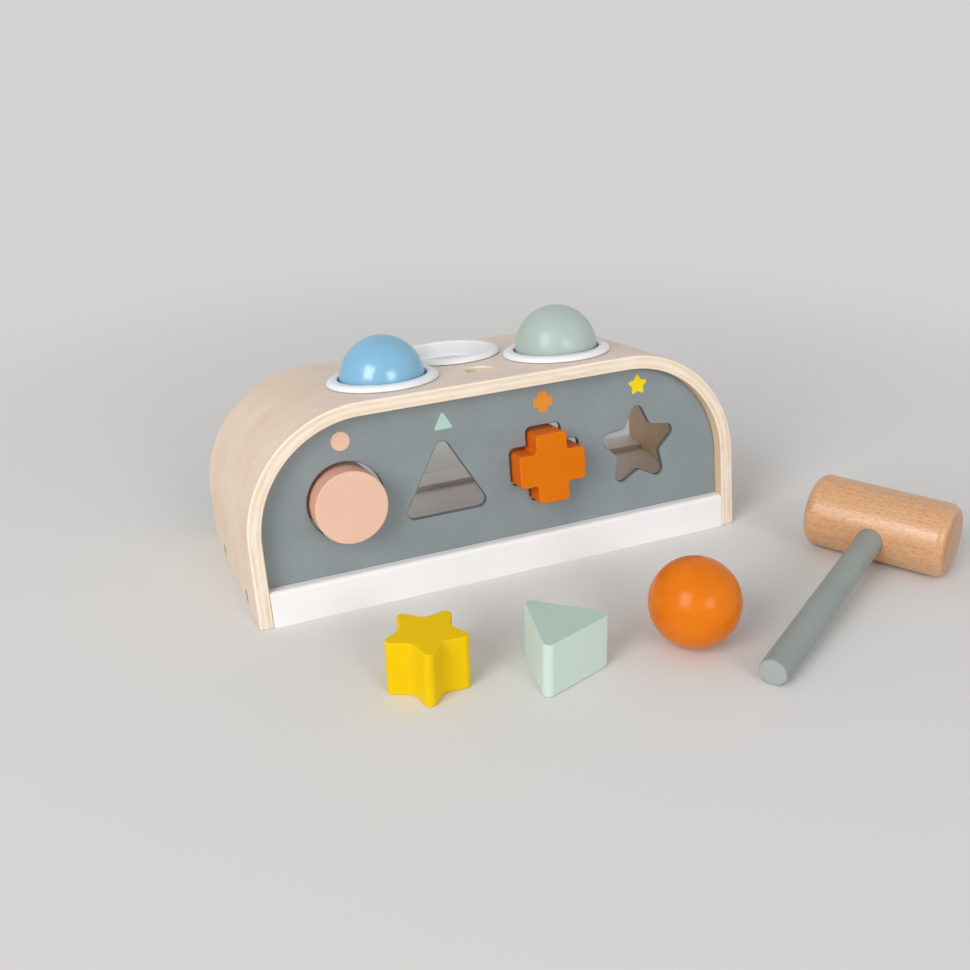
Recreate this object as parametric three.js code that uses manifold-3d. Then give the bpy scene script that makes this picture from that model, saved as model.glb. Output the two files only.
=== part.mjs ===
// A wooden pounding and shape-sorting toy: a leaning arch of bent plywood with
// a painted panel in front, a flat base below and an open back. Three balls are
// knocked through three soft plastic collars in the top with a small hammer,
// and four blocks go through four holes in the panel. Four shallow pockets of
// the same shapes are cut in the underside of the base.
// Millimetres, +Z up, X to the right seen from the front, front towards -Y.
// The origin is the middle of the underside, on the floor.

import * as THREE from 'three';
import Module from 'manifold-3d';
import { mergeVertices } from 'three/addons/utils/BufferGeometryUtils.js';

const wasm = await Module();
wasm.setup();

// Shared clearances
const seatGap = 0.3;            // between two pieces that touch
const cutOverrun = 6;           // how far a cutter runs past what it cuts
const weldDistance = 0.0001;

// Body: the arch is square to its panel, and its feet are cut at a slant, so
// that on the floor the whole arch leans back by this angle.
const leanAngle = THREE.MathUtils.degToRad(8.4);
const bodyWidth = 278;
const bodyDepth = 108;          // square to the panel
const bodyHeight = 108;         // along the panel
const cornerRadius = 64;
const plyThickness = 7.4;
const plyEdgeRound = 0.9;

// Front panel and kerb
const panelRecess = 6.6;
const panelThickness = 3.2;
const kerbHeight = 19;
const kerbEdgeRound = 2.2;

// Base
const boardThickness = 11;
const pocketDepth = 5;
const lipWidth = 15.5;
const lipThickness = 3;
const lipEdgeRound = 0.8;

// Shape holes in the panel, from the middle of the front, along the panel:
// they keep their places across it as shares of the width
const roundPlaceShare = -0.3079;
const trianglePlaceShare = -0.1151;
const crossPlaceShare = 0.0914;
const starPlaceShare = 0.2964;
const roundHole = { x: roundPlaceShare * bodyWidth, z: 57, radius: 20.25 };
const triangleHole = { x: trianglePlaceShare * bodyWidth, z: 53.7, cornerReach: 20.7, cornerRadius: 4 };
const crossHole = {
  x: crossPlaceShare * bodyWidth,
  z: 57.1,
  span: 40.7,
  armWidth: 20.4,
  tipRadius: 3,
  innerRadius: 1,
};
const starHole = {
  x: starPlaceShare * bodyWidth,
  z: 55.7,
  tipReach: 18.9,
  tipRadius: 3.6,
  notchRadius: 13.3,
};

// Blocks: each is its hole's outline, moved inward by the block clearance
const blockClearance = 1.3;
const blockLength = 28;
const blockEdgeRound = 0.9;
const blockStandOut = 10.5;       // how far a seated block stands out of the panel
const starBlockSpot = { x: -77.1, fromFront: 75.1 };
const starBlockAngle = THREE.MathUtils.degToRad(19.6);
const triangleBlockSpot = { x: -17.3, fromFront: 91.9 };
const triangleBlockAngle = THREE.MathUtils.degToRad(18.7);

// Balls and collars, places measured on the top of the arch
const ballRadius = 22.5;
const orangeBallSpot = { x: 51.8, fromFront: 96.8 };
const collarOffset = 50.7;
const collarFromFront = 38.5;
const middleCollarFromFront = 76.1;
const collarFlangeRadius = 29.7;
const collarFlangeHeight = 3.2;
const collarRimRound = 2.4;     // outer edge of the flange
const collarMouthRound = 0.9;
const collarSleeveRadius = 26;
const collarMouthRadius = 23.75;
const collarThroatRadius = 23.2;
const collarLipRadius = 21;     // the ball sits on this edge until it is knocked through
const collarLipDrop = 5;
const pressedLipDrop = 7.2;     // where the blue ball has pressed its lip down
const collarLipThickness = 1.2;
const collarDrop = 10.4;        // lower end of the collar, below the top of the arch
const collarThroatShare = 0.6;  // of the lip's drop, where the throat ends
const collarShoulder = { dropShare: 0.85, inwardShare: 0.35 };

// Hammer and its storage hole in the top
const hammerHoleRadius = 7.8;
const hammerHoleFromFront = 28;
const hammerHeadRadius = 19.9;
const hammerHeadLength = 77;
const hammerHeadRound = 6;
const handleRadius = 7;
const handleReach = 145.4;      // from the middle of the head to the free end
const handleSocket = 11;        // how far the handle goes past the middle of the head
const handleEndRound = 0.9;
const hammerSpot = { x: 188, fromFront: 66.5 };
const hammerAngle = THREE.MathUtils.degToRad(-58.1);

// Screws that hold the feet to the base board
const screwLength = 24;
const screwShankRadius = 1.6;
const screwHeadRadius = 3.3;
const screwHeadDepth = 2.3;
const screwTipLength = 3;
const screwSunk = 0.3;
const screwFromFront = 28;
const screwFromBack = 26;

// Facet counts
const cornerSteps = 18;
const edgeSteps = 2;
const filletSteps = 5;
const ballSides = 32;
const ballRings = 20;
const collarSides = 44;
const roundSides = 40;
const handleSides = 28;
const screwSides = 16;

const footDepth = bodyDepth / Math.cos(leanAngle);

const colours = {
  birch: new THREE.Color(0xdcc2a9),
  panelBlueGrey: new THREE.Color(0x8d9698),
  whitePaint: new THREE.Color(0xf2eded),
  whitePlastic: new THREE.Color(0xf2f7f3),
  blue: new THREE.Color(0x86bfe0),
  sage: new THREE.Color(0xb9c8be),
  orange: new THREE.Color(0xdc6e10),
  pink: new THREE.Color(0xe4bca2),
  yellow: new THREE.Color(0xe6bf04),
  mint: new THREE.Color(0xb5c6b9),
  beech: new THREE.Color(0xdcae7c),
  handleGrey: new THREE.Color(0x929c98),
  steel: new THREE.Color(0xb5b8ba),
};

const finish = (color, roughness, metalness = 0) =>
  new THREE.MeshStandardMaterial({ color, roughness, metalness });

const materials = {
  birch: finish(colours.birch, 0.6),
  panel: finish(colours.panelBlueGrey, 0.55),
  whitePaint: finish(colours.whitePaint, 0.5),
  whitePlastic: finish(colours.whitePlastic, 0.35),
  blueBall: finish(colours.blue, 0.4),
  sageBall: finish(colours.sage, 0.4),
  orangeBall: finish(colours.orange, 0.4),
  pinkBlock: finish(colours.pink, 0.6),
  orangeBlock: finish(colours.orange, 0.55),
  yellowBlock: finish(colours.yellow, 0.55),
  mintBlock: finish(colours.mint, 0.6),
  beech: finish(colours.beech, 0.5),
  handle: finish(colours.handleGrey, 0.5),
  steel: finish(colours.steel, 0.35, 1),
};

// Closed meshes: shared corners are welded and flat triangles dropped
function weld(geometry) {
  const bare = geometry.clone();
  bare.deleteAttribute('normal');
  bare.deleteAttribute('uv');
  const welded = mergeVertices(bare, weldDistance);
  const source = welded.index.array;
  const kept = [];
  for (let i = 0; i < source.length; i += 3) {
    const [a, b, c] = [source[i], source[i + 1], source[i + 2]];
    if (a !== b && b !== c && c !== a) kept.push(a, b, c);
  }
  welded.setIndex(kept);
  return welded;
}

function toSolid(geometry) {
  const welded = weld(geometry);
  return new wasm.Manifold(new wasm.Mesh({
    numProp: 3,
    vertProperties: new Float32Array(welded.attributes.position.array),
    triVerts: new Uint32Array(welded.index.array),
  }));
}

function toGeometry(solid) {
  const mesh = solid.getMesh();
  const geometry = new THREE.BufferGeometry();
  geometry.setAttribute('position', new THREE.BufferAttribute(new Float32Array(mesh.vertProperties), 3));
  geometry.setIndex(new THREE.BufferAttribute(new Uint32Array(mesh.triVerts), 1));
  return geometry;
}

function cut(geometry, ...tools) {
  let solid = toSolid(geometry);
  for (const tool of tools) solid = solid.subtract(toSolid(tool));
  return toGeometry(solid);
}

function piece(name, geometry, material) {
  const shown = weld(geometry);
  shown.computeVertexNormals();
  const mesh = new THREE.Mesh(shown, material);
  mesh.name = name;
  return mesh;
}

// A flat shape drawn as seen from the front (x right, z up), given its depth
// towards the back: it fills y from 0 to depth
function frontSlab(shape, depth, edgeRound = 0) {
  const geometry = new THREE.ExtrudeGeometry(shape, {
    depth: depth - 2 * edgeRound,
    bevelEnabled: edgeRound > 0,
    bevelThickness: edgeRound,
    bevelSize: edgeRound,
    bevelOffset: -edgeRound,
    bevelSegments: edgeSteps,
    steps: 1,
  });
  geometry.rotateX(Math.PI / 2);
  geometry.translate(0, depth - edgeRound, 0);
  return geometry;
}

// The same, standing on the floor: the shape is seen from above
function standingSlab(shape, height, edgeRound = 0) {
  const geometry = frontSlab(shape, height, edgeRound);
  geometry.rotateX(-Math.PI / 2);
  geometry.translate(0, 0, height);
  return geometry;
}

// A profile drawn from the side (y to the back, z up), run across the width
function crossBar(points, width) {
  const geometry = new THREE.ExtrudeGeometry(new THREE.Shape(points), {
    depth: width,
    bevelEnabled: false,
    steps: 1,
  });
  const turn = new THREE.Matrix4().makeBasis(
    new THREE.Vector3(0, 1, 0),
    new THREE.Vector3(0, 0, 1),
    new THREE.Vector3(1, 0, 0),
  );
  geometry.applyMatrix4(turn);
  geometry.translate(-width / 2, 0, 0);
  return geometry;
}

// A turned solid that stands along z, on the level where its profile starts
function turned(points, sides) {
  const geometry = new THREE.LatheGeometry(points, sides);
  geometry.rotateX(Math.PI / 2);
  return geometry;
}

function rod(radius, bottom, top, sides) {
  const geometry = new THREE.CylinderGeometry(radius, radius, top - bottom, sides);
  geometry.rotateX(Math.PI / 2);
  geometry.translate(0, 0, (top + bottom) / 2);
  return geometry;
}

const point = (x, y) => new THREE.Vector2(x, y);
const polar = (reach, angle) => point(reach * Math.cos(angle), reach * Math.sin(angle));

function arc(centre, radius, from, to, steps) {
  const points = [];
  for (let i = 0; i <= steps; i++) {
    points.push(polar(radius, from + (to - from) * (i / steps)).add(centre));
  }
  return points;
}

// The arch's outline from the left foot over the top to the right foot, moved
// inward from the outside of the plywood by inset
function archPath(inset, bottom) {
  const halfWidth = bodyWidth / 2 - inset;
  const radius = cornerRadius - inset;
  const level = bodyHeight - cornerRadius;
  const leftCentre = point(radius - halfWidth, level);
  const rightCentre = point(halfWidth - radius, level);
  return [
    point(-halfWidth, bottom),
    ...arc(leftCentre, radius, Math.PI, Math.PI / 2, cornerSteps),
    ...arc(rightCentre, radius, Math.PI / 2, 0, cornerSteps),
    point(halfWidth, bottom),
  ];
}

// The four outlines, around their middle with one point upward. inset moves
// the whole outline inward, which turns a hole into the block that passes it.
function circleOutline(hole, inset) {
  return arc(point(0, 0), hole.radius - inset, 0, 2 * Math.PI, roundSides).slice(0, -1);
}

function triangleOutline(hole, inset) {
  const points = [];
  for (let corner = 0; corner < 3; corner++) {
    const angle = Math.PI / 2 + corner * 2 * Math.PI / 3;
    const centre = polar(hole.cornerReach, angle);
    points.push(...arc(centre, hole.cornerRadius - inset, angle - Math.PI / 3, angle + Math.PI / 3, filletSteps));
  }
  return points;
}

function crossOutline(hole, inset) {
  const reach = hole.span / 2 - inset;
  const half = hole.armWidth / 2 - inset;
  const tip = hole.tipRadius - inset / 2;
  const inner = hole.innerRadius + inset / 2;
  const points = [];
  for (let arm = 0; arm < 4; arm++) {
    const angle = arm * Math.PI / 2;
    const turn = (p) => p.rotateAround(point(0, 0), angle);
    points.push(...arc(point(reach - tip, tip - half), tip, -Math.PI / 2, 0, filletSteps).map(turn));
    points.push(...arc(point(reach - tip, half - tip), tip, 0, Math.PI / 2, filletSteps).map(turn));
    points.push(...arc(point(half + inner, half + inner), inner, -Math.PI / 2, -Math.PI, edgeSteps).map(turn));
  }
  return points;
}

function starOutline(hole, inset) {
  const tips = 5;
  const halfStep = Math.PI / tips;
  const tipRadius = hole.tipRadius - inset;
  // The straight side of a point leaves its round tip at this angle and meets
  // the next one in the notch
  const notch = polar(hole.notchRadius, halfStep);
  const run = notch.clone().sub(point(hole.tipReach, 0));
  const sideAngle = run.angle() - Math.acos(hole.tipRadius / run.length());
  const sideNormal = polar(1, sideAngle);
  const sideDistance = sideNormal.dot(point(hole.tipReach, 0)) + tipRadius;
  const notchReach = sideDistance / sideNormal.dot(polar(1, halfStep));
  const points = [];
  for (let tip = 0; tip < tips; tip++) {
    const angle = Math.PI / 2 + tip * 2 * halfStep;
    points.push(...arc(polar(hole.tipReach, angle), tipRadius, angle - sideAngle, angle + sideAngle, filletSteps));
    points.push(polar(notchReach, angle + halfStep));
  }
  return points;
}

const outlines = [
  { outline: circleOutline, hole: roundHole },
  { outline: triangleOutline, hole: triangleHole },
  { outline: crossOutline, hole: crossHole },
  { outline: starOutline, hole: starHole },
];

// Everything below a level above the floor, as a cutter in the leaning frame
function belowLevel(level) {
  const reach = bodyDepth + 2 * cutOverrun;
  const geometry = new THREE.BoxGeometry(bodyWidth + 2 * cutOverrun, 2 * reach, reach);
  geometry.translate(0, footDepth / 2, level - reach / 2);
  geometry.rotateX(leanAngle);
  return geometry;
}

// Where the leaning plane at this depth behind the front stands at a height
const leaningDepth = (depth, height) => (depth + height * Math.sin(leanAngle)) / Math.cos(leanAngle);

// A screw lies along x with its head outward on the given side. The same
// profile, moved outward by spare, makes its hole.
function screwSolid(side, spare, headRun) {
  const shank = screwShankRadius + spare;
  const head = screwHeadRadius + spare;
  const profile = [
    point(0, -screwLength - spare),
    point(shank, screwTipLength - screwLength - spare),
    point(shank, -screwHeadDepth - spare),
    point(head, -spare),
  ];
  if (headRun > 0) profile.push(point(head, headRun), point(0, headRun));
  else profile.push(point(0, 0));
  const geometry = new THREE.LatheGeometry(profile, screwSides);
  geometry.rotateZ(-side * Math.PI / 2);
  return geometry;
}

const screwHeight = boardThickness / 2;
const screwPlaces = [
  { name: 'base_screw_front_left', side: -1, y: screwFromFront },
  { name: 'base_screw_front_right', side: 1, y: screwFromFront },
  { name: 'base_screw_rear_left', side: -1, y: footDepth - screwFromBack },
  { name: 'base_screw_rear_right', side: 1, y: footDepth - screwFromBack },
];
const screwX = bodyWidth / 2 - screwSunk;

function screwHoles() {
  return screwPlaces.map(({ side, y }) => {
    const geometry = screwSolid(side, seatGap, cutOverrun);
    geometry.translate(side * screwX, y, screwHeight);
    return geometry;
  });
}

// The arch: one strip of plywood bent over both corners, its feet cut to the
// floor, bored for the three collars, the hammer and the screws
function archShell() {
  const outline = [
    ...archPath(0, -cutOverrun),
    ...archPath(plyThickness, -cutOverrun).reverse(),
  ];
  const strip = frontSlab(new THREE.Shape(outline), bodyDepth, plyEdgeRound);
  const boreBottom = bodyHeight - plyThickness - cutOverrun;
  const boreTop = bodyHeight + cutOverrun;
  const bores = collarPlaces.map(({ x, y }) => {
    const bore = rod(collarSleeveRadius + seatGap, boreBottom, boreTop, collarSides);
    bore.translate(x, y, 0);
    return bore;
  });
  const hammerBore = rod(hammerHoleRadius, boreBottom, boreTop, handleSides);
  hammerBore.translate(0, hammerHoleFromFront, 0);
  const sideBores = screwHoles().map((geometry) => geometry.rotateX(leanAngle));
  return cut(strip, belowLevel(0), ...bores, hammerBore, ...sideBores);
}

// The panel fills the arch behind the kerb and stands on the base board
function frontPanel() {
  const shape = new THREE.Shape(archPath(plyThickness + seatGap, 0));
  for (const { outline, hole } of outlines) {
    const middle = point(hole.x, hole.z);
    shape.holes.push(new THREE.Path(outline(hole, 0).map((p) => p.add(middle))));
  }
  const slab = frontSlab(shape, panelThickness);
  slab.translate(0, panelRecess, 0);
  return cut(slab, belowLevel(boardThickness + seatGap));
}

const innerWidth = bodyWidth - 2 * plyThickness - 2 * seatGap;

// The kerb stands in front of the panel's foot, flush with the arch
function frontKerb() {
  const back = panelRecess - seatGap;
  const round = kerbEdgeRound;
  return crossBar([
    point(0, 0),
    point(back, back * Math.tan(leanAngle)),
    point(back, kerbHeight),
    ...arc(point(round, kerbHeight - round), round, Math.PI / 2, Math.PI, filletSteps),
  ], innerWidth);
}

// The base board lies flat between the feet, with the four pockets below
function baseBoard() {
  const board = crossBar([
    point(leaningDepth(panelRecess, 0), 0),
    point(leaningDepth(bodyDepth, 0), 0),
    point(leaningDepth(bodyDepth, boardThickness), boardThickness),
    point(leaningDepth(panelRecess, boardThickness), boardThickness),
  ], innerWidth);
  const pockets = outlines.map(({ outline, hole }) => {
    // mirrored: read from below with the front edge upward, the shapes stand
    // in the same order as on the panel
    const points = outline(hole, 0).map((p) => point(-hole.x - p.x, footDepth / 2 - p.y));
    const pocket = standingSlab(new THREE.Shape(points), pocketDepth + cutOverrun);
    pocket.translate(0, 0, -cutOverrun);
    return pocket;
  });
  return cut(board, ...pockets, ...screwHoles());
}

// A low strip along the back edge keeps the balls from rolling out
function rearLip() {
  const bottom = boardThickness + seatGap;
  const top = bottom + lipThickness;
  const front = leaningDepth(bodyDepth, bottom) - lipWidth;
  const round = lipEdgeRound;
  return crossBar([
    point(front, bottom),
    point(leaningDepth(bodyDepth, bottom), bottom),
    point(leaningDepth(bodyDepth, top), top),
    ...arc(point(front + round, top - round), round, Math.PI / 2, Math.PI, edgeSteps),
  ], innerWidth);
}

const collarPlaces = [
  { name: 'ball_collar_left', x: -collarOffset, y: collarFromFront, lipDrop: pressedLipDrop },
  { name: 'ball_collar_right', x: collarOffset, y: collarFromFront, lipDrop: collarLipDrop },
  { name: 'ball_collar_middle', x: 0, y: middleCollarFromFront, lipDrop: collarLipDrop },
];

// A collar: a flange on the plywood, a sleeve through it and an elastic lip
// inside, on which the ball sits. Levels are from the top of the arch.
function collar(lipDrop) {
  const rim = collarRimRound;
  const mouth = collarMouthRound;
  const lipBottom = -lipDrop - collarLipThickness;
  const inward = collarThroatRadius - collarLipRadius;
  const profile = [
    point(collarLipRadius, -lipDrop),
    point(collarLipRadius, lipBottom),
    point(collarThroatRadius, lipBottom),
    point(collarThroatRadius, -collarDrop),
    point(collarSleeveRadius, -collarDrop),
    point(collarSleeveRadius, seatGap),
    point(collarFlangeRadius, seatGap),
    ...arc(point(collarFlangeRadius - rim, collarFlangeHeight - rim), rim, 0, Math.PI / 2, filletSteps),
    ...arc(point(collarMouthRadius + mouth, collarFlangeHeight - mouth), mouth, Math.PI / 2, Math.PI, edgeSteps),
    point(collarThroatRadius, -lipDrop * collarThroatShare),
    point(collarThroatRadius - inward * collarShoulder.inwardShare, -lipDrop * collarShoulder.dropShare),
    point(collarLipRadius, -lipDrop),
  ];
  return turned(profile, collarSides);
}

// A seated ball lies on the lip's edge
const seatedBallLevel = (lipDrop) => bodyHeight - lipDrop
  + Math.sqrt((ballRadius + seatGap) ** 2 - collarLipRadius ** 2);

function ball() {
  const geometry = new THREE.SphereGeometry(ballRadius, ballSides, ballRings);
  geometry.rotateX(Math.PI / 2);
  return geometry;
}

// A block seated in its hole lies on the hole's lower edge
function seatedBlock(outline, hole) {
  const shape = new THREE.Shape(outline(hole, blockClearance));
  const geometry = frontSlab(shape, blockLength, blockEdgeRound);
  geometry.translate(0, panelRecess - blockStandOut, 0);
  return geometry;
}

const seatedBlockDrop = blockClearance - seatGap;

function looseBlock(outline, hole) {
  return standingSlab(new THREE.Shape(outline(hole, blockClearance)), blockLength, blockEdgeRound);
}

// The hammer's head lies along x and its handle points towards -y
function hammerHead() {
  const half = hammerHeadLength / 2;
  const round = hammerHeadRound;
  const endArc = arc(point(hammerHeadRadius - round, half - round), round, 0, Math.PI / 2, filletSteps);
  const profile = [
    point(0, -half),
    ...endArc.map((p) => point(p.x, -p.y)).reverse(),
    ...endArc,
    point(0, half),
  ];
  const geometry = new THREE.LatheGeometry(profile, roundSides);
  geometry.rotateZ(Math.PI / 2);
  const socket = new THREE.CylinderGeometry(
    handleRadius + seatGap,
    handleRadius + seatGap,
    hammerHeadRadius + cutOverrun + handleSocket + seatGap,
    handleSides,
  );
  socket.translate(0, (handleSocket + seatGap - hammerHeadRadius - cutOverrun) / 2, 0);
  return cut(geometry, socket);
}

function hammerHandle() {
  const round = handleEndRound;
  const profile = [
    point(0, -handleReach),
    ...arc(point(handleRadius - round, round - handleReach), round, -Math.PI / 2, 0, edgeSteps),
    point(handleRadius, handleSocket),
    point(0, handleSocket),
  ];
  return new THREE.LatheGeometry(profile, handleSides);
}

// The handle slopes down until its free end touches the floor
const handleSlope = Math.asin(hammerHeadRadius / Math.hypot(handleReach, handleRadius))
  - Math.atan2(handleRadius, handleReach);

const toy = new THREE.Group();
toy.name = 'shape_sorter';

const leaning = new THREE.Group();
leaning.position.y = -footDepth / 2;
leaning.rotation.x = -leanAngle;
toy.add(leaning);

const level = new THREE.Group();
level.position.y = -footDepth / 2;
toy.add(level);

leaning.add(piece('arch_shell', archShell(), materials.birch));
leaning.add(piece('front_panel', frontPanel(), materials.panel));
leaning.add(piece('front_kerb', frontKerb(), materials.whitePaint));
level.add(piece('base_board', baseBoard(), materials.whitePaint));
level.add(piece('rear_lip', rearLip(), materials.whitePaint));

for (const { name, side, y } of screwPlaces) {
  const screw = piece(name, screwSolid(side, 0, 0), materials.steel);
  screw.position.set(side * screwX, y, screwHeight);
  level.add(screw);
}

for (const { name, x, y, lipDrop } of collarPlaces) {
  const ring = piece(name, collar(lipDrop), materials.whitePlastic);
  ring.position.set(x, y, bodyHeight);
  leaning.add(ring);
}

const blueBall = piece('blue_ball', ball(), materials.blueBall);
blueBall.position.set(-collarOffset, collarFromFront, seatedBallLevel(pressedLipDrop));
leaning.add(blueBall);

const sageBall = piece('sage_ball', ball(), materials.sageBall);
sageBall.position.set(collarOffset, collarFromFront, seatedBallLevel(collarLipDrop));
leaning.add(sageBall);

const roundBlock = piece('round_block', seatedBlock(circleOutline, roundHole), materials.pinkBlock);
roundBlock.position.set(roundHole.x, 0, roundHole.z - seatedBlockDrop);
leaning.add(roundBlock);

const crossBlock = piece('cross_block', seatedBlock(crossOutline, crossHole), materials.orangeBlock);
crossBlock.position.set(crossHole.x, 0, crossHole.z - seatedBlockDrop);
leaning.add(crossBlock);

const orangeBall = piece('orange_ball', ball(), materials.orangeBall);
orangeBall.position.set(orangeBallSpot.x, -orangeBallSpot.fromFront, ballRadius);
level.add(orangeBall);

const starBlock = piece('star_block', looseBlock(starOutline, starHole), materials.yellowBlock);
starBlock.position.set(starBlockSpot.x, -starBlockSpot.fromFront, 0);
starBlock.rotation.z = starBlockAngle;
level.add(starBlock);

const triangleBlock = piece('triangle_block', looseBlock(triangleOutline, triangleHole), materials.mintBlock);
triangleBlock.position.set(triangleBlockSpot.x, -triangleBlockSpot.fromFront, 0);
triangleBlock.rotation.z = triangleBlockAngle;
level.add(triangleBlock);

const hammer = new THREE.Group();
hammer.position.set(hammerSpot.x, -hammerSpot.fromFront, hammerHeadRadius);
hammer.rotation.z = hammerAngle;
const pitched = new THREE.Group();
pitched.rotation.x = handleSlope;
hammer.add(pitched);
level.add(hammer);
pitched.add(piece('hammer_head', hammerHead(), materials.beech));
pitched.add(piece('hammer_handle', hammerHandle(), materials.handle));

export default toy;
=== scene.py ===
from math import asin, atan2, cos, hypot, pi, radians, sin, sqrt, tan

import bmesh
import bpy
from mathutils import Matrix, Vector, noise
from mathutils.geometry import tessellate_polygon


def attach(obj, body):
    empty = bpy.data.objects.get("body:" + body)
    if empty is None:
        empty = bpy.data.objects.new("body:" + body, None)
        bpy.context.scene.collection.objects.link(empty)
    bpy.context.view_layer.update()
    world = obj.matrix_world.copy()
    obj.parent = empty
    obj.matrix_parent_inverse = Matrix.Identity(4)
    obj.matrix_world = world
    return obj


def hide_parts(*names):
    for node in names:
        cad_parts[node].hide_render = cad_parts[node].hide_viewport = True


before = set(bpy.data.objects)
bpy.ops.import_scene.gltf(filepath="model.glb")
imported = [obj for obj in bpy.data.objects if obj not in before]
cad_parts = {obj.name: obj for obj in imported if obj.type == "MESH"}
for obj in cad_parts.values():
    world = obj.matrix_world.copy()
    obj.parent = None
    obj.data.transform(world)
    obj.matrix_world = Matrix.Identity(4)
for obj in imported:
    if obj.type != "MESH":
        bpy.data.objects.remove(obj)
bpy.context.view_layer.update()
print("stage: packed model loaded,", len(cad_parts), "nodes")

# All sizes below are in millimetres, X to the right, the front towards -Y.

mm = 0.001

# Camera, floor and light

camera = {
    "place": (-222.2, -560.7, 318.8),
    "turn": (64.34, 1.186, -22.755),  # degrees
    "lens": 43.7, "sensor": 36,
    "sight": (10, 50000),  # nearest and farthest
}
studio = {
    "floorTone": "DFDEDC", "floorGloss": 0.9, "floorRadius": 2600, "floorSides": 96,
    "floorDrop": 0.05,
    "floorFade": (280, 680),  # from here on the floor turns into the plain background
    "backgroundTone": "D5D4D2",
    "skyStops": (0.05, 0.64, 0.8, 0.48),  # rise and level, near the floor and overhead
    "middle": (30, -40, 40),  # the point that the windows stand round
    "windows": {  # soft boxes: turn round the toy and rise, size, distance and level
        "windowLeft": ((-60, 30), (1300, 1850), 3050, 0.52),
        "windowRight": ((8, 22), (1150, 1180), 3200, 0.22),
    },
}
toneCurve = {"straightTo": 0.04045, "slope": 12.92, "lift": 0.055, "power": 2.4}


def tone(text):
    # a web colour as the renderer wants it
    parts = []
    for part in (int(text[i:i + 2], 16) / 255 for i in (0, 2, 4)):
        curved = ((part + toneCurve["lift"]) / (1 + toneCurve["lift"])) ** toneCurve["power"]
        parts.append(part / toneCurve["slope"] if part <= toneCurve["straightTo"] else curved)
    return (*parts, 1)


def metres(values):
    return Vector(values) * mm


def addToScene(name, data):
    made = bpy.data.objects.new(name, data)
    bpy.context.scene.collection.objects.link(made)
    return made


def makeCamera():
    data = bpy.data.cameras.new("photoCamera")
    data.lens = camera["lens"]
    data.sensor_width = camera["sensor"]
    data.clip_start, data.clip_end = [reach * mm for reach in camera["sight"]]
    made = addToScene("photoCamera", data)
    made.location = metres(camera["place"])
    made.rotation_euler = [radians(a) for a in camera["turn"]]
    bpy.context.scene.camera = made


def makeWindows():
    for name, (angles, size, reach, level) in studio["windows"].items():
        data = bpy.data.lights.new(name, "AREA")
        data.shape = "RECTANGLE"
        data.size, data.size_y = [side * mm for side in size]
        data.energy = level * (pi * reach * mm) ** 2
        made = addToScene(name, data)
        turn, rise = [radians(angle) for angle in angles]
        towards = Vector((sin(turn) * cos(rise), -cos(turn) * cos(rise), sin(rise)))
        made.location = towards * (reach * mm) + metres(studio["middle"])
        made.rotation_euler = towards.to_track_quat("Z", "Y").to_euler()


def makeSky():
    world = bpy.data.worlds.new("studioSky")
    bpy.context.scene.world = world
    world.use_nodes = True
    world.node_tree.nodes.clear()
    trees.append(world.node_tree)
    way = addNode("TexCoord", {}).outputs["Generated"]
    rise = addNode("SeparateXYZ", {"Vector": way}).outputs["Z"]
    level = steps(rise, studio["skyStops"])
    light = addNode("Background", {"Color": level, "Strength": 1})
    plain = addNode("Background", {"Color": tone(studio["backgroundTone"]), "Strength": 1})
    mix = addNode("MixShader", {0: seenDirectly(), 1: light.outputs[0], 2: plain.outputs[0]})
    addNode("OutputWorld", {"Surface": mix.outputs[0]})


# Helpers for the materials' nodes, which go into the tree that was begun last

trees = []


def newMaterial(name):
    made = bpy.data.materials.new(name)
    made.use_nodes = True
    trees.append(made.node_tree)
    return made, made.node_tree.nodes["Principled BSDF"]


def feed(node, inputs):
    # a socket of another node is linked, and a number or tone is set
    for key, value in inputs.items():
        if isinstance(value, bpy.types.NodeSocket):
            trees[-1].links.new(value, node.inputs[key])
        else:
            node.inputs[key].default_value = value


def addNode(kind, inputs, **settings):
    made = trees[-1].nodes.new("ShaderNode" + kind)
    for key, value in settings.items():
        setattr(made, key, value)
    feed(made, inputs)
    return made


def calc(operation, *values):
    return addNode("Math", dict(enumerate(values)), operation=operation).outputs[0]


def seenDirectly():
    # 1 where the camera, a reflection or a clear piece looks at the plain background
    rays = addNode("LightPath", {}).outputs
    reflected = calc("MAXIMUM", rays["Is Glossy Ray"], rays["Is Transmission Ray"])
    return calc("MAXIMUM", rays["Is Camera Ray"], reflected)


def mark(name, output="Fac"):
    # what the mesh carries at each of its points
    return addNode("Attribute", {}, attribute_name=name).outputs[output]


def stretched(place, stretch, offset=(0, 0, 0)):
    inputs = {"Vector": place, "Scale": stretch, "Location": offset}
    return addNode("Mapping", inputs).outputs["Vector"]


def distance(place):
    return addNode("VectorMath", {0: place}, operation="LENGTH").outputs["Value"]


def smoothShare(value, start, end):
    # 0 at the start and 1 at the end
    inputs = {"Value": value, "From Min": start, "From Max": end}
    return addNode("MapRange", inputs, interpolation_type="SMOOTHSTEP").outputs["Result"]


def layered(base, *layers):
    # tones laid over a base, each with its share
    for share, over in layers:
        base = addNode("Mix", {0: share, 6: base, 7: over}, data_type="RGBA").outputs[2]
    return base


def steps(share, stops):
    # stops: a place and its level by turns, where a level is a number or a tone
    made = addNode("ValToRGB", {"Fac": share})
    elements = made.color_ramp.elements
    while len(elements) < len(stops) / 2:
        elements.new(1)
    for element, spot, level in zip(elements, stops[::2], stops[1::2]):
        element.position = spot
        element.color = level if isinstance(level, tuple) else (level, level, level, 1)
    return made.outputs["Color"]


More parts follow.
